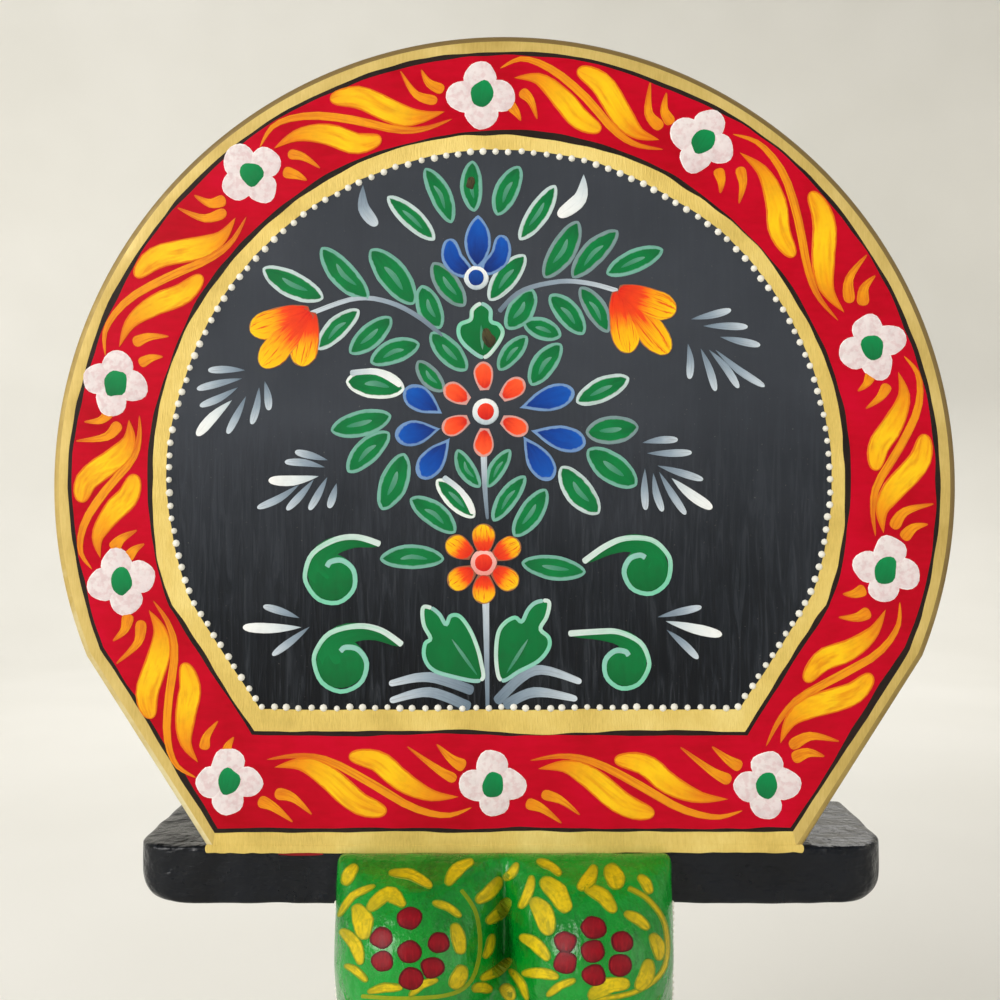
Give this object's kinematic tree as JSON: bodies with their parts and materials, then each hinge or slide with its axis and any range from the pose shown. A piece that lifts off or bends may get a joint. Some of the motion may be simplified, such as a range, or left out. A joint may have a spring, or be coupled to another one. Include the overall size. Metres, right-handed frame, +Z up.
{
  "type": "painted wooden letter rack",
  "caption": "Hand-painted wooden wall rack: a round-topped flower panel and back board on a black ledge carried by a carved elephant's head.",
  "frame": {"origin": "middle of the ledge's rear face, which rests on the wall", "axes": "+X to the right seen from the front, the front faces -Y, the wall is at Y = 0, +Z up"},
  "size_m": [0.24, 0.0996, 0.3618],
  "materials": {
    "panel_paint": "satin hand paint on wood",
    "board_paint": "satin hand paint on wood",
    "ledge_paint": "gloss enamel on wood",
    "head_paint": "gloss enamel on carved wood",
    "tusk_paint": "gloss enamel on wood",
    "screw_steel": "zinc plated",
    "eye_brass": "aged brass wire"
  },
  "bodies": {
    "rack": {"front_panel": "panel_paint", "back_board": "board_paint", "ledge": "ledge_paint", "head": "head_paint", "ear_left": "head_paint", "ear_right": "head_paint", "tusk_left": "tusk_paint", "tusk_right": "tusk_paint", "panel_screw_left": "screw_steel", "panel_screw_right": "screw_steel", "back_screw_left": "screw_steel", "back_screw_right": "screw_steel", "head_screw_left": "screw_steel", "head_screw_right": "screw_steel", "screw_eye": "eye_brass"},
    "ring": {"hang_ring": "eye_brass"}
  },
  "joints": [
    {"name": "ring_swing", "type": "hinge", "parent": "rack", "child": "ring", "pos_m": [0, -0.0048, 0.17985], "axis": [1, 0, 0], "range_deg": [-5, 165]}
  ]
}
